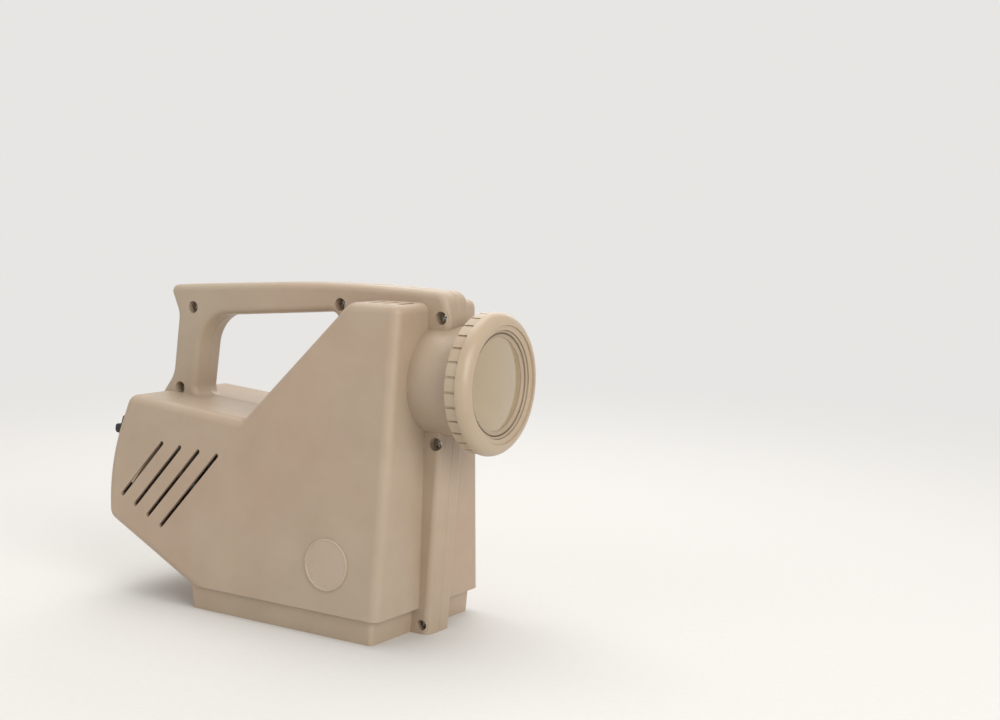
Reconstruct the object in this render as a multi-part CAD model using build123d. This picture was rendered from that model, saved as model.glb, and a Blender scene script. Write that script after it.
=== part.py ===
from build123d import *
import os
from math import atan2, cos, degrees, hypot, radians, sin, sqrt, tan

# An opaque projector that stands on the picture it projects: two moulded half shells joined on
# their middle plane by screws, with a lamp house at the back, a 45 degree mirror behind the
# sloping back, a loop handle over the top and a focusing lens at the front.
# Millimetres. +X is the way the lens looks and +Z is up. Y = 0 is the joint between the shells,
# and the origin is on the base plane, under the middle of the picture opening.

# general
wall = 2.5
seat_gap = 0.3
seam_chamfer = 0.5
cutter_depth = 20
reach = 400
upward = (Align.CENTER, Align.CENTER, Align.MIN)
downward = (Align.CENTER, Align.CENTER, Align.MAX)

# skirt that surrounds the picture
skirt_length = 162
skirt_width = 121
skirt_height = 18
skirt_corner = 3
skirt_draft = 4.4

# wide body above the skirt
body_front = 88
body_front_lean = 3
body_height = 230
body_half_width = 65.5
side_lean = 4.2
edge_round = 7
rear_step = 1.5
slope_foot_round = 4
slope_head_round = 11
brow_round = 10
body_brow_round = 6

# sloping back with the mirror behind it
mirror_slope = 45
slope_reach = 4

# lamp house behind the slope
lamp_length = 166
lamp_floor = 57
lamp_bulge = 4
lamp_bulge_height = 98
lamp_bulge_share = 0.8
lamp_height = 151.3
lamp_top_reach = 151
lamp_top_fall = 4.4
lamp_heel_round = 9
lamp_corner_round = 10

# spine: the narrow part that carries the handle, the ridge and the front rib
spine_half = 14
rib_foot = 96
rib_head = 109
rib_head_height = 214.5
brow_reach = 104.5
ridge_front_height = 237.5
ridge_crown = 241.2
ridge_crown_reach = 10
ridge_rear_height = 232.2
tail_reach = 148.5
neck_reach = 139
neck_height = 211
heel_reach = 144.5
heel_rise = 12.7
strut_foot_reach = 156
spine_round = 5
ridge_round = 1300
tail_round = 5
neck_round = 14
heel_round = 22
spine_core = 24

# finger opening of the handle
opening_floor_rise = 0.6
opening_rear = 121
opening_rear_lean = 8
opening_roof_rear = 210
opening_roof_front = 220.5
opening_slope_gap = 9
opening_draft = 5
opening_round = 5
opening_heel_round = 7
opening_neck_round = 28
opening_toe_round = 8

# lens mount
lens_height = 177
snout_radius = 37.5
snout_front = 126.5
thread_radius = 35
guide_bore = 32
guide_rear = 79
guide_front = 101
focus_travel = 10

# lens barrel, its head and the glass
barrel_wall = 2
barrel_rear = 81
barrel_front = 129.6
flange_radius = 42.5
flange_thick = 3
head_radius = 38.3
head_front = 139.5
retainer_radius = 36.5
retainer_front = 140.3
retainer_toe = 0.4
lens_radius = 34
lens_edge = 3
lens_sag = 2.8
clear_radius = 31.9
front_lens_seat = 134.3
rear_lens_seat = 83
rear_lens_edge = 2.5
rear_lens_sag = 1.6
rear_ledge = 2
key_width = 4
key_height = 1.3
key_length = 9

# focusing ring and its collar
ring_radius = 48.7
ring_rear = 126.8
grip_front = 135
grip_depth = 0.8
bezel_radius = 8.4
ring_wall = 2.6
lip_radius = 40
lip_front = 142
lip_inner = 36.8
lip_fall = 0.8
groove_count = 30
groove_width = 1.7
groove_depth = 1.1
groove_margin = 0.3
groove_start = 8.2

# ventilation slots
vent_count = 4
vent_width = 3.3
vent_slope = 48.4
vent_first_length = 59.3
vent_growth = 6.8
vent_first_x = -132.2
vent_first_z = 96.9
vent_pitch_x = 15.7
vent_pitch_z = -3.7
top_vent_first = 52.1
top_vent_pitch = 10.9
top_vent_width = 4.4
top_vent_inner = 17
top_vent_mouth = 24
top_vent_floor = 29
top_vent_outer = 43
top_vent_depth = 1.6
top_vent_roof = 0.8

# screws that join the shells, as places on the side of the spine
heel_screw_rise = 2.6
screw_places = {
    "tail": (-122.8, 216.3),
    "heel": (-135.8, lamp_height + heel_screw_rise),
    "brow": (16.4, 225.2),
    "over_lens": (101, 220),
    "under_lens": (98.5, 134),
    "foot": (90.2, 6.4),
}
screw_recess = 4.6
foot_recess = 3.7
screw_seat = 7
screw_radius = 1.75
screw_head_radius = 3.5
screw_head_height = 2.4
screw_depth = 8
boss_wall = 1.8
hole_gap = 0.15

# badge place
badge_x = 44
badge_z = 51
badge_radius = 18
badge_thick = 1.2

# mirror
mirror_thick = 3
mirror_length = 108
pocket_rib = 1.6
pocket_depth = 6
sheet_margin = 1.4

# light baffle between the lamp and the mirror
baffle_x = -45
baffle_height = 42
baffle_drop = 4.1437
baffle_thick = 1.2

# lamp
lamp_slope = 35
lamp_plate_x = -128
lamp_plate_z = 110
lamp_plate_height = 54
lamp_plate_thick = 1.5
socket_radius = 19
socket_length = 38
socket_front = 14
socket_bore = 13.6
socket_lip = 3
cap_radius = 13.3
cap_length = 22
cap_taper = 5
cap_stand = 4
bulb_radius = 16
bulb_length = 92
bulb_dome = 22
reflector_neck = 21
reflector_waist = 35
reflector_waist_depth = 11
reflector_mouth = 44
reflector_depth = 36
reflector_thick = 0.8

# rocker switch on the back of the lamp house
switch_inset = 14
switch_z = 122.3
switch_width = 13
switch_height = 20
switch_depth = 16
bezel_margin = 1.6
bezel_thick = 1.4
switch_wall = 1.3
rocker_gap = 0.35
rocker_tilt = 11
rocker_thick = 3.5
nub_height = 7
nub_reach = 10
nub_round = 2.6
rocker_pin_depth = 0.6
rocker_pin_radius = 1.2
pin_gap = 0.05

# bush for the supply lead
bush_inset = 19.2
bush_z = 76
bush_radius = 6.4
bush_flange = 9.2
bush_flange_thick = 2.6
bush_tail = 7
bush_bore = 3.6


def body_floor_x():
    return -skirt_length / 2 - rear_step


def slope_x(height):
    # outer face of the sloping back at a height
    return (height - lens_height) / tan(radians(mirror_slope)) - slope_reach


def lamp_top(x):
    # outer face of the top of the lamp house
    return lamp_height - (x + lamp_top_reach) * tan(radians(lamp_top_fall))


def slope_foot():
    # where the top of the lamp house meets the sloping back
    rise = 1 / tan(radians(mirror_slope))
    fall = tan(radians(lamp_top_fall))
    start = -slope_reach - lens_height * rise
    x = (start + rise * (lamp_height - lamp_top_reach * fall)) / (1 + rise * fall)
    return (x, lamp_top(x))


def body_side(height):
    # distance of the outer side wall from the middle plane
    return body_half_width - (height - skirt_height) * tan(radians(side_lean))


def ring_point(origin, angle, along, up):
    # a point in the XZ plane in axes that slope down towards +X by an angle
    turn = radians(angle)
    return (
        origin[0] + along * cos(turn) + up * sin(turn),
        origin[1] - along * sin(turn) + up * cos(turn),
    )


def side_face(points, radii, inset=0):
    # a face with rounded corners, every side of its counterclockwise outline moved in by an inset
    corners = [Vector(*point) for point in points]
    moved = []
    rounds = []
    for index, corner in enumerate(corners):
        before = (corner - corners[index - 1]).normalized()
        after = (corners[(index + 1) % len(corners)] - corner).normalized()
        step = Vector(-before.Y - after.Y, before.X + after.X) / (1 + before.dot(after))
        turn = 1 if before.cross(after).Z > 0 else -1
        moved.append(corner + step * inset)
        rounds.append(max(0, radii[index] - turn * inset) if radii[index] else 0)
    return make_face(FilletPolyline(*moved, radius=rounds, close=True))


def towards_right(face, depth, start=0):
    return extrude(Plane.XZ.offset(start) * face, amount=depth)


def near_half(solid):
    room = Box(2 * reach, reach, 2 * reach, align=(Align.CENTER, Align.MAX, Align.CENTER))
    return solid & room


def lens_turn(points):
    # a solid of revolution about the lens axis, from (x, radius) pairs
    face = Plane.XZ * make_face(Polyline(*[(x, lens_height + r) for x, r in points], close=True))
    return revolve(face, axis=Axis((0, 0, lens_height), (1, 0, 0)))


def bulge_round():
    # radius of the soft bend in the back of the lamp house, set by how long its arms may be
    upper = Vector(lamp_top_reach - lamp_length - lamp_bulge, lamp_bulge_height - lamp_height)
    lower = Vector(lamp_bulge, lamp_floor - lamp_bulge_height)
    arm = lamp_bulge_share * min(abs(upper.Y), abs(lower.Y))
    return arm / tan(radians(upper.get_angle(lower) / 2))


def body_outline(inset=0):
    points = [
        (body_floor_x(), skirt_height),
        (body_front, skirt_height),
        (body_front + body_front_lean, body_height),
        (slope_x(body_height), body_height),
        slope_foot(),
        (-lamp_top_reach, lamp_height),
        (-lamp_length - lamp_bulge, lamp_bulge_height),
        (-lamp_length, lamp_floor),
    ]
    radii = [0, 0, body_brow_round, slope_head_round, slope_foot_round]
    radii += [lamp_heel_round, bulge_round(), lamp_corner_round]
    return side_face(points, radii, inset)


def side_room(inset):
    # the room between the two leaning side walls
    low = body_side(0) - inset / cos(radians(side_lean))
    high = body_side(body_height) - inset / cos(radians(side_lean))
    section = Polyline((-low, 0), (low, 0), (high, body_height), (-high, body_height), close=True)
    return extrude(Plane.YZ.offset(-reach) * make_face(section), amount=2 * reach)


def body_half(inset=0):
    solid = towards_right(body_outline(inset), 2 * body_half_width) & side_room(inset)
    shift = inset / cos(radians(side_lean))
    rim = []
    for edge in solid.edges():
        middle = edge @ 0.5
        on_side = abs(middle.Y + body_side(middle.Z) - shift) < 0.01
        if on_side and middle.Z > skirt_height + inset + 0.01:
            rim.append(edge)
    if inset:
        # inside, a flat that touches the middle of the round stands in for it
        return chamfer(rim, (edge_round - inset) * (2 - sqrt(2)))
    return fillet(rim, edge_round)


def skirt_half(inset=0):
    base = RectangleRounded(skirt_length - 2 * inset, skirt_width - 2 * inset, skirt_corner)
    return near_half(extrude(base, amount=skirt_height + inset, taper=-skirt_draft))


def spine_outline(inset=0):
    foot = slope_foot()
    points = [
        (body_front - spine_core, 0),
        (rib_foot, 0),
        (rib_head, rib_head_height),
        (brow_reach, ridge_front_height),
        (ridge_crown_reach, ridge_crown),
        (-tail_reach, ridge_rear_height),
        (-neck_reach, neck_height),
        (-heel_reach, lamp_height + heel_rise),
        (-strut_foot_reach, lamp_height - wall),
        (-lamp_top_reach + spine_core, lamp_height - spine_core),
        (foot[0] + spine_core, foot[1] - spine_core),
        (body_front - spine_core, body_height - spine_core),
    ]
    radii = [0, 0, brow_round, brow_round, ridge_round, tail_round, neck_round, heel_round]
    radii += [0, 0, 0, 0]
    return side_face(points, radii, inset)


def opening_corner(rise):
    # where a line parallel to the top of the lamp house meets the front edge of the opening
    gap = opening_slope_gap / sin(radians(mirror_slope))
    foot = slope_foot()
    x = foot[0] - gap + (rise + lamp_top(foot[0] - gap) - foot[1])
    return (x, lamp_top(x) + rise)


def opening_outline(outset=0):
    # the finger opening: its floor is the top of the lamp house, its front edge the sloping back
    rear_top = -opening_rear + opening_rear_lean
    gap = opening_slope_gap / sin(radians(mirror_slope))
    points = [
        (-opening_rear, lamp_top(-opening_rear) + opening_floor_rise),
        opening_corner(opening_floor_rise),
        (slope_x(opening_roof_front) - gap, opening_roof_front),
        (rear_top, opening_roof_rear),
    ]
    radii = [opening_heel_round, opening_toe_round, opening_toe_round, opening_neck_round]
    return side_face(points, radii, -outset)


def opening_half():
    # one half of the finger opening, widening with the mould's draft from the middle plane
    hole = extrude(opening_outline(), amount=spine_half, taper=-opening_draft)
    bevel = extrude(opening_outline(seam_chamfer), amount=seam_chamfer, taper=45)
    return Rot(90, 0, 0) * (hole + bevel)


def spine_side():
    return towards_right(spine_outline(), spine_half) - opening_half()


def spine_room(inset):
    # the spine's outline moved in all round, clear of the drafted opening
    outset = inset + spine_half * tan(radians(opening_draft))
    return towards_right(spine_outline(inset) - opening_outline(outset), spine_half - inset)


def spine_shows(point):
    # whether a point on the edge of the spine lies outside the wide body
    before = point.X > body_front + body_front_lean
    above = point.Z > body_height
    behind = point.X < -lamp_top_reach + spine_core and point.Z > lamp_height
    return before or above or behind


def rounded_spine():
    solid = spine_side()
    flank = solid.faces().sort_by(Axis.Y)[0]
    solid = fillet(flank.inner_wires()[0].edges(), opening_round)
    flank = solid.faces().filter_by(Axis.Y).sort_by(Axis.Y)[0]
    shown = [edge for edge in flank.outer_wire().edges() if spine_shows(edge @ 0.5)]
    return fillet(shown, spine_round)


def snout_half():
    points = [
        (body_front - wall, 0),
        (body_front - wall, snout_radius),
        (snout_front, snout_radius),
        (snout_front, 0),
    ]
    return near_half(lens_turn(points))


def snout_room():
    # the threaded mouth of the snout, open to the inside of the body
    return near_half(lens_turn([(guide_rear, 0), (guide_rear, thread_radius),
                                (snout_front, thread_radius), (snout_front, 0)]))


def guide_sleeve():
    # the plain bore that the lens barrel slides in, joined to the snout behind its thread
    sleeve = lens_turn([(guide_rear, guide_bore), (guide_rear, guide_bore + wall),
                        (body_front, guide_bore + wall), (body_front, snout_radius - wall / 2),
                        (guide_front, snout_radius - wall / 2), (guide_front, guide_bore)])
    return near_half(sleeve) - key_way()


def key_way():
    # the slot under the bore that keeps the lens barrel from turning
    slot = Box(guide_front - guide_rear, key_width / 2 + seat_gap, guide_bore + key_height + seat_gap,
               align=(Align.MIN, Align.MAX, Align.MAX))
    return Pos(guide_rear, 0, lens_height) * slot


def outer_half():
    solid = body_half() + skirt_half() + rounded_spine() + snout_half()
    joint = solid.faces().filter_by(Axis.Y).sort_by(Axis.Y)[-1]
    return chamfer(joint.outer_wire().edges(), seam_chamfer)


def inner_half():
    return body_half(wall) + skirt_half(wall) + spine_room(wall) + snout_room()


def strip(start, end, low, high):
    # a flat bar in the XZ plane between two points, from one distance off their line to another
    length = hypot(end[0] - start[0], end[1] - start[1])
    turn = degrees(atan2(end[1] - start[1], end[0] - start[0]))
    bar = Pos(length / 2, (low + high) / 2) * Rectangle(length, high - low)
    return Pos(start[0], start[1]) * (Rot(0, 0, turn) * bar)


def sheet_face(line, thick, margin=0):
    # the edge of a sheet seen from the side, with a margin all round
    step = Vector(line[1][0] - line[0][0], line[1][1] - line[0][1]).normalized() * margin
    start = (line[0][0] - step.X, line[0][1] - step.Y)
    end = (line[1][0] + step.X, line[1][1] + step.Y)
    return strip(start, end, -thick / 2 - margin, thick / 2 + margin)


def pocket(line, thick):
    # a frame of ribs on the inside of the side wall that holds the edge of a sheet
    frame = sheet_face(line, thick, seat_gap + pocket_rib) - sheet_face(line, thick, seat_gap)
    return (towards_right(frame, reach) & body_half(wall / 2)) - side_room(wall + pocket_depth)


def sheet(line, thick):
    # a flat sheet across the body, its side edges lying along the two leaning walls
    slab = extrude(Plane.XZ * sheet_face(line, thick), amount=reach, both=True)
    return slab & side_room(wall + sheet_margin)


def mirror_line():
    # the middle line of the mirror, parallel to the sloping back and one rib inside it
    inward = wall + pocket_rib + seat_gap + mirror_thick / 2
    shift = inward / sin(radians(mirror_slope))
    middle = (slope_x(lens_height) + shift, lens_height)
    half = mirror_length / 2
    low = ring_point(middle, -mirror_slope, -half, 0)
    high = ring_point(middle, -mirror_slope, half, 0)
    return low, high


def baffle_line():
    top = lamp_top(baffle_x) - baffle_drop
    return (baffle_x, top - baffle_height), (baffle_x, top)


def lamp_plate_line():
    centre = (lamp_plate_x, lamp_plate_z)
    half = lamp_plate_height / 2
    return ring_point(centre, lamp_slope, 0, -half), ring_point(centre, lamp_slope, 0, half)


def vents():
    slots = Part()
    for index in range(vent_count):
        length = vent_first_length + index * vent_growth
        x = vent_first_x + index * vent_pitch_x
        z = vent_first_z + index * vent_pitch_z
        slot = Pos(x, z) * (Rot(0, 0, vent_slope) * SlotOverall(length, vent_width))
        slots += towards_right(slot, reach, spine_half)
    return slots


def top_vents():
    # scoops that fall from the side towards a dark mouth under a thin roof
    top = body_height
    profile = Polyline(
        (-top_vent_outer, top), (-top_vent_floor, top - top_vent_depth),
        (-top_vent_floor, top - 2 * wall), (-top_vent_inner, top - 2 * wall),
        (-top_vent_inner, top - top_vent_roof), (-top_vent_mouth, top - top_vent_roof),
        (-top_vent_mouth, top + wall), (-top_vent_outer, top + wall), close=True)
    scoop = extrude(Plane.YZ * make_face(profile), amount=top_vent_width / 2, both=True)
    return [Pos(top_vent_first + index * top_vent_pitch, 0, 0) * scoop for index in range(vent_count)]


def common_half():
    shell = outer_half() - inner_half() - vents() - top_vents() + guide_sleeve()
    shell += pocket(mirror_line(), mirror_thick)
    shell += pocket(baffle_line(), baffle_thick)
    shell += pocket(lamp_plate_line(), lamp_plate_thick)
    return shell


def rod(place, radius, start, end):
    # a round bar along Y at an (x, z) place, from one Y to another
    bar = Cylinder(radius, end - start, align=upward)
    return Pos(place[0], start, place[1]) * (Rot(-90, 0, 0) * bar)


def recess_radius(name):
    return foot_recess if name == "foot" else screw_recess


def right_shell():
    shell = common_half()
    core = spine_room(wall / 2)
    for name, place in screw_places.items():
        radius = recess_radius(name)
        shell += rod(place, radius + boss_wall, -spine_half, 0) & core
        shell -= rod(place, radius, -spine_half - seat_gap, -screw_seat)
        shell -= rod(place, screw_radius + hole_gap, -screw_seat, 0)
    return shell - switch_cutout()


def left_shell():
    shell = mirror(common_half(), about=Plane.XZ)
    core = mirror(spine_room(wall / 2), about=Plane.XZ)
    for place in screw_places.values():
        shell += rod(place, screw_radius + hole_gap + boss_wall, 0, spine_half) & core
        shell -= rod(place, screw_radius + hole_gap, 0, screw_depth + seat_gap)
    return shell - bush_cutout()


def case_screws():
    screws = []
    for place in screw_places.values():
        shank = rod(place, screw_radius, -screw_seat, screw_depth)
        head = rod(place, screw_head_radius, -screw_seat - screw_head_height, -screw_seat)
        screws.append(shank + head)
    return Compound(children=screws)


def badge_disc():
    disc = Cylinder(badge_radius, badge_thick, align=upward)
    turn = Rot(90 - side_lean, 0, 0)
    return Pos(badge_x, -body_side(badge_z), badge_z) * (turn * disc)


def mirror_plate():
    return sheet(mirror_line(), mirror_thick)


def light_baffle():
    return sheet(baffle_line(), baffle_thick)


def barrel_bore():
    return guide_bore - seat_gap - barrel_wall


def lens_disc(seat, edge, sag, radius, rear_clear, front_clear):
    # a lens with a flat seat round each curved face
    rim = lens_turn([(seat, 0), (seat, radius), (seat + edge, radius), (seat + edge, 0)])
    rear = lens_cap(seat, -1, sag, rear_clear)
    return rim + rear + lens_cap(seat + edge, 1, sag, front_clear)


def lens_cap(seat, side, sag, clear):
    # the curved part of a lens face, cut from a ball
    ball = (clear * clear + sag * sag) / (2 * sag)
    room = Box(sag, 2 * ball, 2 * ball, align=(Align.MIN, Align.CENTER, Align.CENTER))
    cap = Pos(seat + side * (sag - ball), 0, lens_height) * (Rot(0, 0, 90) * Sphere(ball))
    return cap & Pos(seat + (side - 1) / 2 * sag, 0, lens_height) * room


def lens_barrel():
    outer = guide_bore - seat_gap
    inner = barrel_bore()
    seat = lens_radius + hole_gap
    points = [
        (barrel_rear, inner),
        (barrel_rear, outer),
        (barrel_front, outer),
        (barrel_front, flange_radius),
        (barrel_front + flange_thick, flange_radius),
        (barrel_front + flange_thick, head_radius),
        (head_front, head_radius),
        (head_front, seat),
        (front_lens_seat, seat),
        (front_lens_seat, inner),
        (rear_lens_seat + rear_lens_edge + rear_ledge, inner),
        (rear_lens_seat + rear_lens_edge + rear_ledge, inner - rear_ledge),
        (rear_lens_seat + rear_lens_edge, inner - rear_ledge),
        (rear_lens_seat + rear_lens_edge, inner),
    ]
    barrel = lens_turn(points)
    key = Box(key_length, key_width, key_height + 1, align=(Align.MAX, Align.CENTER, Align.MIN))
    low = lens_height - outer - key_height
    return barrel + Pos(guide_front - focus_travel - seat_gap, 0, low) * key


def front_lens():
    clear = barrel_bore()
    return lens_disc(front_lens_seat, lens_edge, lens_sag, lens_radius, clear, clear_radius)


def rear_lens():
    radius = barrel_bore() - hole_gap
    clear = barrel_bore() - rear_ledge - hole_gap
    return lens_disc(rear_lens_seat, rear_lens_edge, rear_lens_sag, radius, clear, clear)


def lens_retainer():
    # threaded ring that holds the front lens, its flange sloping in to the glass
    start = front_lens_seat + lens_edge
    outer = lens_radius + hole_gap / 2
    points = [
        (start, clear_radius),
        (start, outer),
        (head_front, outer),
        (head_front, retainer_radius),
        (retainer_front, retainer_radius),
        (start + retainer_toe, clear_radius),
    ]
    return lens_turn(points)


def rear_retainer():
    outer = barrel_bore() - hole_gap / 2
    points = [
        (barrel_rear, outer - rear_ledge),
        (barrel_rear, outer),
        (rear_lens_seat, outer),
        (rear_lens_seat, outer - rear_ledge),
    ]
    return lens_turn(points)


def ring_section():
    # the moulded ring: a skirt, a rounded bezel and a hub round the head of the barrel
    grip = ring_radius - grip_depth
    crest = ring_radius - bezel_radius
    hub = head_radius + seat_gap
    hub_rear = barrel_front + flange_thick + seat_gap
    front = grip_front + bezel_radius
    outside = Line((ring_rear, grip), (grip_front, grip))
    shoulder = Line((grip_front, grip), (grip_front, ring_radius))
    bend = RadiusArc((grip_front, ring_radius), (front, crest), bezel_radius)
    lip_rear = head_front + seat_gap
    face = Polyline((front, crest), (lip_front, lip_radius), (lip_front - lip_fall, lip_inner),
                    (lip_rear, lip_inner), (lip_rear, hub), (hub_rear, hub),
                    (hub_rear, hub + ring_wall), (head_front, hub + ring_wall),
                    (grip_front, ring_radius - ring_wall), (ring_rear, ring_radius - ring_wall),
                    (ring_rear, grip))
    return make_face([outside, shoulder, bend, face])


def focus_ring():
    axis = Axis((0, 0, lens_height), (1, 0, 0))
    ring = revolve(Plane.XZ * (Pos(0, lens_height) * ring_section()), axis=axis)
    # each groove runs out through the rear edge of the ring
    cutter = Box(2 * (grip_front - groove_margin - ring_rear), groove_width, 2 * groove_depth)
    for index in range(groove_count):
        turn = Pos(0, 0, lens_height) * Rot(groove_start + 360 * index / groove_count, 0, 0)
        ring -= turn * (Pos(ring_rear, 0, ring_radius - grip_depth) * cutter)
    return ring


def focus_collar():
    # the threaded tube that screws into the snout, with the flange that carries the ring
    inner = guide_bore
    outer = thread_radius - seat_gap
    rim = ring_radius - ring_wall - hole_gap
    points = [
        (guide_front + seat_gap, inner),
        (guide_front + seat_gap, outer),
        (ring_rear, outer),
        (ring_rear, rim),
        (barrel_front - seat_gap, rim),
        (barrel_front - seat_gap, inner),
    ]
    return lens_turn(points)


def lamp_frame():
    # the lamp axis: origin in the plane of the lamp plate, Z along the axis towards the picture
    return Plane(
        origin=(lamp_plate_x, 0, lamp_plate_z),
        x_dir=(0, 1, 0),
        z_dir=(cos(radians(lamp_slope)), 0, -sin(radians(lamp_slope))),
    )


def lamp_turn(section):
    # a solid of revolution about the lamp axis, from a section in (radius, height along the axis)
    solid = revolve(Plane.XZ * section, axis=Axis.Z)
    return lamp_frame() * solid


def lamp_plate():
    plate = sheet(lamp_plate_line(), lamp_plate_thick)
    hole = Cylinder(socket_radius + hole_gap, cutter_depth)
    return plate - lamp_frame() * hole


def lamp_socket():
    rear = socket_front - socket_length
    plate_rear = -lamp_plate_thick / 2
    rim = socket_radius + socket_lip
    section = make_face(Polyline(
        (0, rear), (socket_radius, rear), (socket_radius, plate_rear - socket_lip),
        (rim, plate_rear - socket_lip), (rim, plate_rear), (socket_radius, plate_rear),
        (socket_radius, socket_front),
        (socket_bore, socket_front), (socket_bore, socket_front - cap_length),
        (0, socket_front - cap_length), close=True))
    return lamp_turn(section)


def bulb_cap():
    foot = socket_front - cap_length
    section = make_face(Polyline(
        (0, foot), (cap_radius - cap_taper, foot), (cap_radius, foot + cap_stand),
        (cap_radius, socket_front + cap_stand), (0, socket_front + cap_stand), close=True))
    return lamp_turn(section)


def bulb_glass():
    # a tubular bulb with a domed end
    start = socket_front + cap_stand
    tube = Cylinder(bulb_radius, 2 * bulb_length)
    dome = Pos(0, 0, start + bulb_length - bulb_dome) * (Rot(90, 0, 0) * Sphere(bulb_dome))
    room = Pos(0, 0, start) * Cylinder(bulb_dome, bulb_length, align=upward)
    body = Cylinder(bulb_radius, bulb_length - bulb_dome, align=upward)
    return lamp_frame() * (Pos(0, 0, start) * body + (dome & tube & room))


def reflector():
    # a spun dish of two bands, open at the neck for the lamp holder
    start = lamp_plate_thick / 2
    inside = [(reflector_neck, start)]
    inside.append((reflector_waist, start + reflector_waist_depth))
    inside.append((reflector_mouth, start + reflector_depth))
    outside = [(radius + reflector_thick, height) for radius, height in reversed(inside)]
    return lamp_turn(make_face(Polyline(*inside, *outside, close=True)))


def back_wall(height):
    # outer face of the back of the lamp house at a height
    level = Line((-reach, height), (baffle_x, height))
    return (body_outline() & level).vertices().sort_by(Axis.X)[0].X


def back_frame(y, z, half):
    # a plane on the back of the lamp house, with Z straight out of the wall and X along Y
    lean = atan2(back_wall(z + half) - back_wall(z - half), 2 * half)
    return Plane(origin=(back_wall(z), y, z), x_dir=(0, -1, 0), z_dir=(-cos(lean), 0, sin(lean)))


def switch_frame():
    y = switch_inset - body_side(switch_z)
    return back_frame(y, switch_z, switch_height / 2)


def switch_cutout():
    gap = 2 * seat_gap
    return switch_frame() * Box(switch_width + gap, switch_height + gap, cutter_depth)


def rocker_pin(radius):
    pin = Cylinder(radius, switch_width - switch_wall)
    return Pos(0, 0, seat_gap - rocker_pin_depth) * (Rot(0, 90, 0) * pin)


def switch_housing():
    body = Box(switch_width, switch_height, switch_depth, align=downward)
    rim = Box(switch_width + 2 * bezel_margin, switch_height + 2 * bezel_margin, bezel_thick,
              align=upward)
    rim = fillet(rim.edges().filter_by(Axis.Z), bezel_margin)
    well = Box(switch_width - 2 * switch_wall, switch_height - 2 * switch_wall, switch_depth,
               align=upward)
    shell = rim + body - Pos(0, 0, switch_wall - switch_depth) * (well + Pos(0, 0, bezel_thick) * well)
    return switch_frame() * (Pos(0, 0, seat_gap) * shell + rocker_pin(rocker_pin_radius))


def switch_rocker():
    # a bar with round ends that rocks on the pin, with a nub for the finger in its middle
    half = switch_height / 2 - switch_wall - rocker_gap
    face = bezel_thick + rocker_pin_depth
    block = Pos(0, (face - rocker_thick) / 2) * Rectangle(2 * half, face + rocker_thick)
    nub = Pos(0, nub_reach / 2) * RectangleRounded(nub_height, nub_reach, nub_round)
    section = Rot(0, 0, rocker_tilt) * ((block & Circle(half)) + nub)
    width = switch_width - 2 * switch_wall - 2 * rocker_gap
    bar = extrude(Plane.YZ * section, amount=width / 2, both=True)
    bar = Pos(0, 0, seat_gap - rocker_pin_depth) * bar
    return switch_frame() * (bar - rocker_pin(rocker_pin_radius + pin_gap))


def bush_frame():
    y = body_side(bush_z) - bush_inset
    return back_frame(y, bush_z, bush_flange)


def bush_cutout():
    return bush_frame() * Cylinder(bush_radius + hole_gap, cutter_depth)


def lead_bush():
    collar = Cone(bush_flange, bush_radius, bush_flange_thick, align=upward)
    barrel = Cylinder(bush_radius, bush_tail, align=downward)
    bush = collar + barrel - Cylinder(bush_bore, cutter_depth)
    return bush_frame() * (Pos(0, 0, seat_gap) * bush)


parts = {
    "right_shell": right_shell,
    "left_shell": left_shell,
    "case_screws": case_screws,
    "badge_disc": badge_disc,
    "mirror": mirror_plate,
    "light_baffle": light_baffle,
    "lens_barrel": lens_barrel,
    "front_lens": front_lens,
    "rear_lens": rear_lens,
    "lens_retainer": lens_retainer,
    "rear_retainer": rear_retainer,
    "focus_ring": focus_ring,
    "focus_collar": focus_collar,
    "lamp_plate": lamp_plate,
    "lamp_socket": lamp_socket,
    "bulb_cap": bulb_cap,
    "bulb_glass": bulb_glass,
    "reflector": reflector,
    "switch_housing": switch_housing,
    "switch_rocker": switch_rocker,
    "lead_bush": lead_bush,
}

os.makedirs("parts", exist_ok=True)
for name, build in parts.items():
    export_step(build(), f"parts/{name}.step")
    print(name)
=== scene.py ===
import bpy
import bmesh
from math import cos, pi, radians, sin
from mathutils import Matrix, Vector


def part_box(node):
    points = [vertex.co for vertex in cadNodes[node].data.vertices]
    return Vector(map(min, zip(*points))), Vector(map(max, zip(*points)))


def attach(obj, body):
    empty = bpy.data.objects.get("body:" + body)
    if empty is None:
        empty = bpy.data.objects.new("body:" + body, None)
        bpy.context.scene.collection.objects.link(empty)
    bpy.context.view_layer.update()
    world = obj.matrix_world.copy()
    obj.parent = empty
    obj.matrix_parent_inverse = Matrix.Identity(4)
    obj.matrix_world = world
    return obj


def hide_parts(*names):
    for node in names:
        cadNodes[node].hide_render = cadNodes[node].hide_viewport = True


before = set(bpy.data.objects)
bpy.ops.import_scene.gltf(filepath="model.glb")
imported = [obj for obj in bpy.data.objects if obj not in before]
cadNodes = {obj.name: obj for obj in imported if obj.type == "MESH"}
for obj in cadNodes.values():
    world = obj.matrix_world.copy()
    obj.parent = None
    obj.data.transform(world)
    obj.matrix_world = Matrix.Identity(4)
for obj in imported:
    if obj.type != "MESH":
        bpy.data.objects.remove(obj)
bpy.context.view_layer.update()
millimetre = 0.001

# where a noise begins and ends to change a colour or a gloss
noiseStops = (0.3, 0.7)
glossStops = (0.33, 0.7)
driftStops = (0.36, 0.64)
tarnishStops = (0.45, 0.75)
plasticGlossSpread = 0.07
metalGlossSpread = 0.06
glassGlossShare = 0.6
stainSpread = 0.2
plasticGrainDepth = 0.3 * millimetre
metalGrainDepth = 0.2 * millimetre
plasticIor = 1.5
subsurfaceRadius = (0.004, 0.003, 0.002)
coatRoughness = 0.02
mergeDistance = 1e-6


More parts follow.
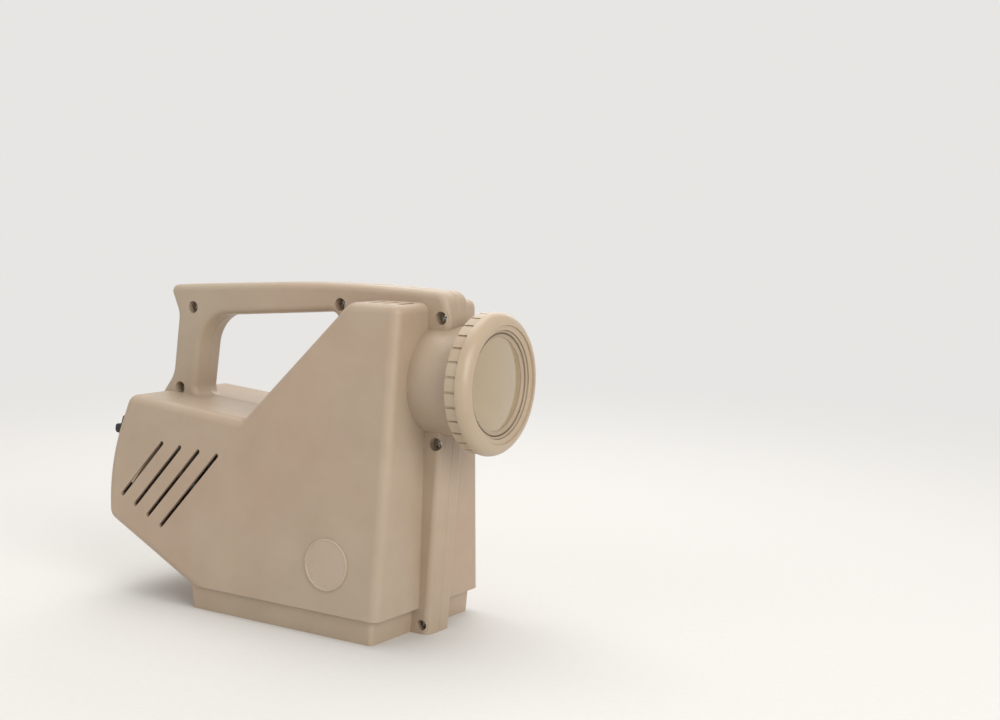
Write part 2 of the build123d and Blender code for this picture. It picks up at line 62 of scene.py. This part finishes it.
def newMaterial(name):
    material = bpy.data.materials.new(name)
    material.use_nodes = True
    tree = material.node_tree
    return material, tree, tree.nodes["Principled BSDF"]


def addNode(tree, kind, values=None, **settings):
    node = tree.nodes.new(kind)
    for key, value in settings.items():
        setattr(node, key, value)
    for key, value in (values or {}).items():
        node.inputs[key].default_value = value
    return node


def link(tree, start, startSocket, end, endSocket):
    tree.links.new(start.outputs[startSocket], end.inputs[endSocket])


def ramp(tree, source, socket, marks):
    # a colour ramp between two marks, fed by a value
    node = addNode(tree, "ShaderNodeValToRGB")
    for element, (place, color) in zip(node.color_ramp.elements, marks):
        element.position = place
        element.color = (*color, 1)
    link(tree, source, socket, node, "Fac")
    return node


def noise(tree, place, scale, detail, rough=0.5):
    node = addNode(tree, "ShaderNodeTexNoise", {"Scale": scale, "Detail": detail, "Roughness": rough})
    link(tree, place, "Object", node, "Vector")
    return node


def mixColors(tree, first, second, mode, factor=None):
    # a mix of two colours that come from sockets, full unless a factor node is given
    node = addNode(tree, "ShaderNodeMix", {"Factor": 1}, data_type="RGBA", blend_type=mode)
    if factor:
        link(tree, factor, "Color", node, "Factor")
    tree.links.new(first, node.inputs[6])
    tree.links.new(second, node.inputs[7])
    return node.outputs[2]


def stops(places, low, high):
    return [(places[0], low), (places[1], high)]


def grey(value):
    return (value, value, value)


def shades(color, share):
    # the colour a little darker and a little lighter
    return tuple(c * (1 - share) for c in color), tuple(min(1, c * (1 + share)) for c in color)


def uneven(tree, source, shader, level, spread):
    # roughness that drifts about a level with a noise
    gloss = ramp(tree, source, "Fac", stops(glossStops, grey(level - spread), grey(level + spread)))
    link(tree, gloss, "Color", shader, "Roughness")


def relief(tree, source, socket, shader, strength, distance):
    bump = addNode(tree, "ShaderNodeBump", {"Strength": strength, "Distance": distance})
    link(tree, source, socket, bump, "Height")
    link(tree, bump, "Normal", shader, "Normal")


def mouldedPlastic(name, look):
    # aged moulded plastic: a drift of tint, faint patches, dark specks, a fine grain, an uneven gloss
    material, tree, shader = newMaterial(name)
    place = addNode(tree, "ShaderNodeTexCoord")
    drift = noise(tree, place, look["driftScale"], 2)
    cloud = noise(tree, place, look["cloudScale"], 4, 0.6)
    grain = noise(tree, place, look["grainScale"], 2)
    wear = noise(tree, place, look["wearScale"], 5, 0.65)
    warm, cool = look["color"], look["aged"]
    tint = ramp(tree, drift, "Fac", stops(driftStops, warm, cool))
    dark, light = shades(grey(0.5), look["variation"])
    patch = ramp(tree, cloud, "Fac", stops(noiseStops, dark, light))
    tinted = mixColors(tree, tint.outputs["Color"], patch.outputs["Color"], "SOFT_LIGHT")
    speck = addNode(tree, "ShaderNodeTexVoronoi", {"Scale": look["speckScale"], "Randomness": 1})
    link(tree, place, "Object", speck, "Vector")
    spots = ramp(tree, speck, "Distance", [(0.0, grey(look["speckShade"])), (look["speckSize"], grey(1))])
    marked = mixColors(tree, tinted, spots.outputs["Color"], "MULTIPLY")
    tree.links.new(marked, shader.inputs["Base Color"])
    uneven(tree, wear, shader, look["roughness"], plasticGlossSpread)
    relief(tree, grain, "Fac", shader, look["bump"], plasticGrainDepth)
    shader.inputs["Subsurface Weight"].default_value = look["depth"]
    shader.inputs["Subsurface Radius"].default_value = subsurfaceRadius
    shader.inputs["Subsurface Scale"].default_value = 1
    shader.inputs["IOR"].default_value = plasticIor
    return material


def plainMetal(name, look):
    # metal with fine scratches, a tarnish that follows a coarser noise and an uneven gloss
    material, tree, shader = newMaterial(name)
    place = addNode(tree, "ShaderNodeTexCoord")
    scratch = noise(tree, place, look["scratchScale"], 4)
    tarnish = noise(tree, place, look["tarnishScale"], 5, 0.6)
    clean = ramp(tree, scratch, "Fac", stops(noiseStops, *shades(look["color"], look["variation"])))
    paleStain = shades(look["stain"], stainSpread)[1]
    stained = ramp(tree, scratch, "Fac", stops(noiseStops, look["stain"], paleStain))
    share = ramp(tree, tarnish, "Fac", stops(tarnishStops, grey(0), grey(look["stainShare"])))
    tone = mixColors(tree, clean.outputs["Color"], stained.outputs["Color"], "MIX", share)
    tree.links.new(tone, shader.inputs["Base Color"])
    uneven(tree, tarnish, shader, look["roughness"], metalGlossSpread)
    relief(tree, scratch, "Fac", shader, look["bump"], metalGrainDepth)
    shader.inputs["Metallic"].default_value = 1
    return material


def hazyGlass(name, look):
    # glass with a haze of dust, so that it shows a tint of its own
    material, tree, shader = newMaterial(name)
    place = addNode(tree, "ShaderNodeTexCoord")
    dust = noise(tree, place, look["dustScale"], 6, 0.7)
    uneven(tree, dust, shader, look["roughness"], look["roughness"] * glassGlossShare)
    tone = ramp(tree, dust, "Fac", stops(noiseStops, *shades(look["color"], look["variation"])))
    link(tree, tone, "Color", shader, "Base Color")
    shader.inputs["Transmission Weight"].default_value = look["clear"]
    shader.inputs["IOR"].default_value = look["ior"]
    shader.inputs["Coat Weight"].default_value = look["coat"]
    shader.inputs["Coat Roughness"].default_value = coatRoughness
    return material


def dress(nodeNames, material):
    for name in nodeNames:
        slots = cadNodes[name].data.materials
        if len(slots):
            slots[0] = material
        else:
            slots.append(material)


def showMesh(name, mesh, material):
    data = bpy.data.meshes.new(name)
    mesh.to_mesh(data)
    mesh.free()
    data.materials.append(material)
    thing = bpy.data.objects.new(name, data)
    bpy.context.scene.collection.objects.link(thing)
    return thing


def addPiece(name, mesh, material, body, replaced=(), sharpAngle=32):
    # a finished piece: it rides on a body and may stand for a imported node
    piece = showMesh(name, mesh, material)
    piece.data.shade_smooth()
    piece.data.set_sharp_from_angle(angle=radians(sharpAngle))
    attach(piece, body)
    if replaced:
        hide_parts(*replaced)
    return piece


def turnProfile(points, steps=64):
    # a profile of (radius, height) points in millimetres, turned once about Z
    mesh = bmesh.new()
    row = [mesh.verts.new((radius * millimetre, 0, height * millimetre)) for radius, height in points]
    edges = [mesh.edges.new(pair) for pair in zip(row, row[1:])]
    bmesh.ops.spin(mesh, geom=row + edges, cent=(0, 0, 0), axis=(0, 0, 1), dvec=(0, 0, 0),
                   angle=2 * pi, steps=steps, use_merge=True, use_duplicate=False)
    bmesh.ops.remove_doubles(mesh, verts=mesh.verts, dist=mergeDistance)
    bmesh.ops.recalc_face_normals(mesh, faces=mesh.faces)
    return mesh


def joinInto(target, source):
    # copy one bmesh into another
    carrier = bpy.data.meshes.new("carrier")
    source.to_mesh(carrier)
    source.free()
    target.from_mesh(carrier)
    bpy.data.meshes.remove(carrier)


cameraView = {
    "place": (0.6647, -0.8827, 0.2964),
    "yaw": 36.4746, "pitch": -6.4894, "roll": 0.7863,
    "focal": 55.41, "shift": (0.154, 0.018),
}


def makeCamera(view):
    data = bpy.data.cameras.new("camera")
    data.sensor_width = 36
    data.lens = view["focal"]
    data.shift_x, data.shift_y = view["shift"]
    camera = bpy.data.objects.new("camera", data)
    bpy.context.scene.collection.objects.link(camera)
    turn = Matrix.Rotation(radians(view["yaw"]), 4, "Z")
    tilt = Matrix.Rotation(radians(90 + view["pitch"]), 4, "X")
    roll = Matrix.Rotation(radians(view["roll"]), 4, "Z")
    camera.matrix_world = Matrix.Translation(view["place"]) @ turn @ tilt @ roll
    bpy.context.scene.camera = camera


studio = {
    "floorRadius": 8, "floorColor": (0.70, 0.692, 0.68), "farColor": (0.80, 0.79, 0.77),
    "fibreScale": 220, "fibreDetail": 3, "fibreShare": 0.012, "floorRoughness": 0.9,
    "shadowReach": 0.45, "plainFrom": 1.6, "aim": (0, 0, 0.12),
    "worldStrength": 0.55, "worldColor": (1.0, 0.99, 0.97),
    "lampColor": (1.0, 0.98, 0.94),
    "lamps": {
        "key": {"place": (2.0, -0.9, 1.05), "size": 1.5, "power": 32},
        "fill": {"place": (-0.9, -2.0, 1.0), "size": 1.6, "power": 6},
        "top": {"place": (-0.3, 0.3, 1.9), "size": 1.5, "power": 21},
        "rim": {"place": (-0.6, 1.7, 1.2), "size": 1.3, "power": 8},
    },
}


def makeLamp(name, lamp, color, target):
    data = bpy.data.lights.new(name, "AREA")
    data.size = lamp["size"]
    data.energy = lamp["power"]
    data.color = color
    thing = bpy.data.objects.new(name, data)
    bpy.context.scene.collection.objects.link(thing)
    place = Vector(lamp["place"])
    aim = Vector(target) - place
    turn = aim.to_track_quat("-Z", "Y").to_matrix().to_4x4()
    thing.matrix_world = Matrix.Translation(place) @ turn


def seenRay(tree):
    # 1 where the eye sees a surface straight, in a reflection or through glass
    path = addNode(tree, "ShaderNodeLightPath")
    both = addNode(tree, "ShaderNodeMath", operation="MAXIMUM")
    link(tree, path, "Is Camera Ray", both, 0)
    link(tree, path, "Is Glossy Ray", both, 1)
    every = addNode(tree, "ShaderNodeMath", operation="MAXIMUM")
    link(tree, both, "Value", every, 0)
    link(tree, path, "Is Transmission Ray", every, 1)
    return every


def floorMaterial(look):
    # paper near the object, where the shadow falls, and the plain backdrop colour far off
    material, tree, shader = newMaterial("paperFloor")
    place = addNode(tree, "ShaderNodeTexCoord")
    fibre = noise(tree, place, look["fibreScale"], look["fibreDetail"])
    tone = ramp(tree, fibre, "Fac", stops(noiseStops, *shades(look["floorColor"], look["fibreShare"])))
    link(tree, tone, "Color", shader, "Base Color")
    shader.inputs["Roughness"].default_value = look["floorRoughness"]
    away = addNode(tree, "ShaderNodeVectorMath", operation="LENGTH")
    link(tree, place, "Object", away, "Vector")
    reaches = {"From Min": look["shadowReach"], "From Max": look["plainFrom"]}
    share = addNode(tree, "ShaderNodeMapRange", reaches, interpolation_type="SMOOTHSTEP")
    link(tree, away, "Value", share, "Value")
    factor = addNode(tree, "ShaderNodeMath", operation="MULTIPLY")
    link(tree, share, "Result", factor, 0)
    link(tree, seenRay(tree), "Value", factor, 1)
    plain = addNode(tree, "ShaderNodeEmission", {"Color": (*look["farColor"], 1), "Strength": 1})
    mix = addNode(tree, "ShaderNodeMixShader")
    link(tree, factor, "Value", mix, "Fac")
    tree.links.new(shader.outputs["BSDF"], mix.inputs[1])
    tree.links.new(plain.outputs["Emission"], mix.inputs[2])
    link(tree, mix, "Shader", tree.nodes["Material Output"], "Surface")
    return material


def makeWorld(look):
    world = bpy.data.worlds.new("studio")
    world.use_nodes = True
    tree = world.node_tree
    sky = tree.nodes["Background"]
    sky.inputs["Color"].default_value = (*look["worldColor"], 1)
    sky.inputs["Strength"].default_value = look["worldStrength"]
    plain = addNode(tree, "ShaderNodeBackground", {"Color": (*look["farColor"], 1), "Strength": 1})
    mix = addNode(tree, "ShaderNodeMixShader")
    link(tree, seenRay(tree), "Value", mix, "Fac")
    tree.links.new(sky.outputs["Background"], mix.inputs[1])
    tree.links.new(plain.outputs["Background"], mix.inputs[2])
    link(tree, mix, "Shader", tree.nodes["World Output"], "Surface")
    bpy.context.scene.world = world


def makeStudio(look):
    mesh = bmesh.new()
    bmesh.ops.create_circle(mesh, cap_ends=True, segments=96, radius=look["floorRadius"])
    floor = showMesh("floor", mesh, floorMaterial(look))
    makeWorld(look)
    for name, lamp in look["lamps"].items():
        makeLamp(name, lamp, look["lampColor"], look["aim"])
    bpy.context.scene.view_settings.view_transform = "Standard"


makeCamera(cameraView)
makeStudio(studio)
print("camera and studio")


shellLook = {
    "color": (0.412, 0.306, 0.222), "aged": (0.398, 0.320, 0.236), "variation": 0.07, "roughness": 0.45,
    "bump": 0.12, "driftScale": 7, "cloudScale": 28, "grainScale": 2600, "wearScale": 30, "depth": 0.06,
    "speckScale": 62, "speckSize": 0.035, "speckShade": 0.5,
}
ringLook = dict(shellLook, color=(0.430, 0.330, 0.230), aged=(0.420, 0.336, 0.240), roughness=0.36, bump=0.05)
innerLook = dict(shellLook, color=(0.385, 0.295, 0.208), aged=(0.378, 0.300, 0.214), roughness=0.5,
                 speckShade=0.8)
badgeLook = dict(shellLook, color=(0.445, 0.345, 0.262), aged=(0.435, 0.348, 0.266), roughness=0.3, bump=0.02)
darkLook = dict(shellLook, color=(0.010, 0.010, 0.011), aged=(0.014, 0.013, 0.014), roughness=0.4,
                bump=0.06, depth=0)
rubberLook = dict(darkLook, roughness=0.6, bump=0.2)
ceramicLook = dict(shellLook, color=(0.50, 0.47, 0.40), aged=(0.45, 0.41, 0.34), roughness=0.25, bump=0.03)

screwLook = {"color": (0.52, 0.51, 0.48), "stain": (0.16, 0.14, 0.12), "stainShare": 0.6, "variation": 0.1,
             "roughness": 0.3, "scratchScale": 900, "tarnishScale": 260, "bump": 0.15}
sheetLook = {"color": (0.50, 0.51, 0.52), "stain": (0.33, 0.31, 0.28), "stainShare": 0.6, "variation": 0.1,
             "roughness": 0.38, "scratchScale": 160, "tarnishScale": 40, "bump": 0.1}
brightLook = dict(sheetLook, color=(0.80, 0.80, 0.80), stain=(0.55, 0.53, 0.50), roughness=0.16, bump=0.04)
brassLook = dict(sheetLook, color=(0.70, 0.52, 0.24), stain=(0.36, 0.24, 0.11), roughness=0.3)
mirrorLook = dict(sheetLook, color=(0.86, 0.87, 0.87), stain=(0.74, 0.75, 0.74), variation=0.01,
                  stainShare=0.4, roughness=0.07, bump=0.01)
lensLook = {"color": (0.52, 0.400, 0.245), "variation": 0.03, "dustScale": 60, "roughness": 0.10,
            "clear": 0.35, "ior": 1.52, "coat": 1.0}
bulbLook = {"color": (0.92, 0.91, 0.87), "variation": 0.02, "dustScale": 40, "roughness": 0.28,
            "clear": 0.6, "ior": 1.45, "coat": 0.2}

shellPlastic = mouldedPlastic("shellPlastic", shellLook)
ringPlastic = mouldedPlastic("ringPlastic", ringLook)
innerPlastic = mouldedPlastic("innerPlastic", innerLook)
badgePlastic = mouldedPlastic("badgePlastic", badgeLook)
screwSteel = plainMetal("screwSteel", screwLook)
brightMetal = plainMetal("brightMetal", brightLook)
capBrass = plainMetal("capBrass", brassLook)
bulbFrost = hazyGlass("bulbFrost", bulbLook)
dress(["right_shell", "left_shell"], shellPlastic)
dress(["focus_ring", "focus_collar"], ringPlastic)
dress(["lens_barrel", "lens_retainer", "rear_retainer"], innerPlastic)
dress(["badge_disc"], badgePlastic)
dress(["switch_housing", "switch_rocker"], mouldedPlastic("darkPlastic", darkLook))
dress(["lead_bush"], mouldedPlastic("bushRubber", rubberLook))
dress(["lamp_socket"], mouldedPlastic("ceramic", ceramicLook))
dress(["case_screws"], screwSteel)
dress(["lamp_plate", "light_baffle"], plainMetal("sheetSteel", sheetLook))
dress(["reflector"], brightMetal)
dress(["bulb_cap"], capBrass)
dress(["mirror"], plainMetal("mirrorGlass", mirrorLook))
dress(["front_lens", "rear_lens"], hazyGlass("lensGlass", lensLook))
dress(["bulb_glass"], bulbFrost)
print("materials")


screwShape = {
    "places": [(-122.8, 216.3), (-135.8, 153.9), (16.4, 225.2), (101, 220), (98.5, 134), (90.2, 6.4)],
    "seat": -7,
    "profile": [(0, -15), (0.5, -14.7), (1.72, -12.2), (1.72, 0), (3.3, 0), (3.48, 0.2), (3.48, 1.0),
                (3.3, 1.5), (2.8, 1.95), (2.4, 2.12), (2.2, 2.18), (2.0, 2.22), (1.6, 2.28), (1.2, 2.33),
                (0.8, 2.36), (0.4, 2.375), (0, 2.38)],
    "steps": 48, "crossLength": 4.2, "crossWidth": 0.9, "crossDepth": 1.5, "crossTaper": 0.4,
    "crossAbove": 2, "crossTurn": 37,
}


def sinkCross(screw, shape):
    # press a cross recess into the top of the head, deepest in the middle
    half, reach = shape["crossWidth"] / 2, shape["crossLength"] / 2
    for vert in screw.verts:
        across, along = sorted(abs(value) / millimetre for value in vert.co.xy)
        if vert.co.z > shape["crossAbove"] * millimetre and across < half and along < reach:
            vert.co.z -= shape["crossDepth"] * (1 - shape["crossTaper"] * along / reach) * millimetre


def makeScrews(shape):
    every = bmesh.new()
    upright = Matrix.Rotation(radians(90), 4, "X")
    for index, (x, z) in enumerate(shape["places"]):
        screw = turnProfile(shape["profile"], shape["steps"])
        sinkCross(screw, shape)
        turn = upright @ Matrix.Rotation(radians(index * shape["crossTurn"]), 4, "Z")
        place = Matrix.Translation(Vector((x, shape["seat"], z)) * millimetre)
        bmesh.ops.transform(screw, matrix=place @ turn, verts=screw.verts)
        joinInto(every, screw)
    addPiece("caseScrewSet", every, screwSteel, "casing", ["case_screws"])


makeScrews(screwShape)
print("screws")


badgeShape = {
    "radius": 18, "thick": 1.2, "rim": 1.3, "sink": 0.35, "edge": 0.35, "lean": 4.2,
    "steps": 96, "edgeSteps": 3, "rimFinder": 0.01,
}


def makeBadge(shape):
    # a bare disc with a raised rim, lying on the leaning side of the case
    low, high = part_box("badge_disc")
    middle = (Vector(low) + Vector(high)) / 2
    lean = Matrix.Rotation(radians(90 - shape["lean"]), 4, "X")
    radius = shape["radius"] * millimetre
    disc = bmesh.new()
    bmesh.ops.create_cone(disc, cap_ends=True, segments=shape["steps"], radius1=radius, radius2=radius,
                          depth=shape["thick"] * millimetre)
    face = max(disc.faces, key=lambda item: item.calc_center_median().z)
    bmesh.ops.inset_region(disc, faces=[face], thickness=shape["rim"] * millimetre, depth=0)
    bmesh.ops.inset_region(disc, faces=[face], thickness=shape["sink"] * millimetre,
                           depth=-shape["sink"] * millimetre)
    rimStart = (shape["radius"] - shape["rimFinder"]) * millimetre
    outer = [edge for edge in disc.edges
             if all(vert.co.z > 0 and vert.co.xy.length > rimStart for vert in edge.verts)]
    bmesh.ops.bevel(disc, geom=outer, offset=shape["edge"] * millimetre, segments=shape["edgeSteps"],
                    profile=0.5, affect="EDGES", material=-1)
    bmesh.ops.transform(disc, matrix=Matrix.Translation(middle) @ lean, verts=disc.verts)
    addPiece("badgePlate", disc, badgePlastic, "casing", ["badge_disc"])


makeBadge(badgeShape)
print("badge")


lampShape = {
    "place": (-128, 0, 110), "slope": 35,
    "dishNeck": (21, 0.8), "dishMouth": (44, 36.6), "dishThick": 0.7, "dishSlant": 0.2, "dishRim": 0.9,
    "dishSteps": 14, "dishTurn": 96,
    "glassRadius": 15.9, "glassEnd": 109.8, "glassDome": 12, "glassThick": 0.8, "domeSteps": 10,
    "neck": [(12.2, 18.2), (12.5, 20.2), (14.7, 24.2), (15.9, 29.2)],
    "foot": [(0, -7.9), (4.5, -7.9), (5.1, -6.7), (10.2, -4.8)],
    "collar": [(13.2, 17), (12.6, 18.2), (0, 18.2)],
    "capRadius": 13.2, "capThread": 1.1, "capPitch": 3.5, "capLow": -4, "capHigh": 16, "threadSteps": 8,
}


def lampMatrix(shape):
    # the lamp's own axis is Z, and points from its plate down towards the picture
    place = Vector(shape["place"]) * millimetre
    return Matrix.Translation(place) @ Matrix.Rotation(radians(90 + shape["slope"]), 4, "Y")


def addLampPiece(name, mesh, material, replaced):
    bmesh.ops.transform(mesh, matrix=lampMatrix(lampShape), verts=mesh.verts)
    return addPiece(name, mesh, material, "casing", replaced)


def makeDish(shape):
    # a spun dish that opens in one smooth curve to a rolled rim
    neck, mouth = Vector(shape["dishNeck"]), Vector(shape["dishMouth"])
    points = []
    for step in range(shape["dishSteps"] + 1):
        turn = pi / 2 * step / shape["dishSteps"]
        radius = neck.x + (mouth.x - neck.x) * sin(turn)
        points.append((radius, neck.y + (mouth.y - neck.y) * (1 - cos(turn))))
    thick, drop = shape["dishThick"], shape["dishSlant"] * shape["dishThick"]
    outside = [(radius + thick, height - drop) for radius, height in reversed(points)]
    points.append((mouth.x + shape["dishRim"], mouth.y))
    dish = turnProfile(points + outside + [points[0]], shape["dishTurn"])
    addLampPiece("reflectorDish", dish, brightMetal, ["reflector"])


def makeBulbGlass(shape):
    # a blown tube, thin walled, with a rounded end and a neck that runs into the cap
    radius, end, dome = shape["glassRadius"], shape["glassEnd"], shape["glassDome"]
    points = shape["neck"] + [(radius, end - dome)]
    for step in range(1, shape["domeSteps"] + 1):
        turn = pi / 2 * step / shape["domeSteps"]
        points.append((radius * cos(turn), end - dome + dome * sin(turn)))
    glass = turnProfile(points)
    bmesh.ops.solidify(glass, geom=glass.faces, thickness=shape["glassThick"] * millimetre)
    addLampPiece("bulbEnvelope", glass, bulbFrost, ["bulb_glass"])


def makeBulbCap(shape):
    # the cap with ridges that stand for its rolled thread, its collar and the contact at its foot
    radius, low, high = shape["capRadius"], shape["capLow"], shape["capHigh"]
    turns, steps = (high - low) / shape["capPitch"], shape["threadSteps"]
    points = list(shape["foot"])
    for step in range(int(turns * steps) + 1):
        swing = (1 - cos(2 * pi * step / steps)) / 2
        points.append((radius - shape["capThread"] * swing, low + step * shape["capPitch"] / steps))
    cap = turnProfile(points + shape["collar"])
    addLampPiece("bulbScrewCap", cap, capBrass, ["bulb_cap"])


makeDish(lampShape)
makeBulbGlass(lampShape)
makeBulbCap(lampShape)
print("lamp")
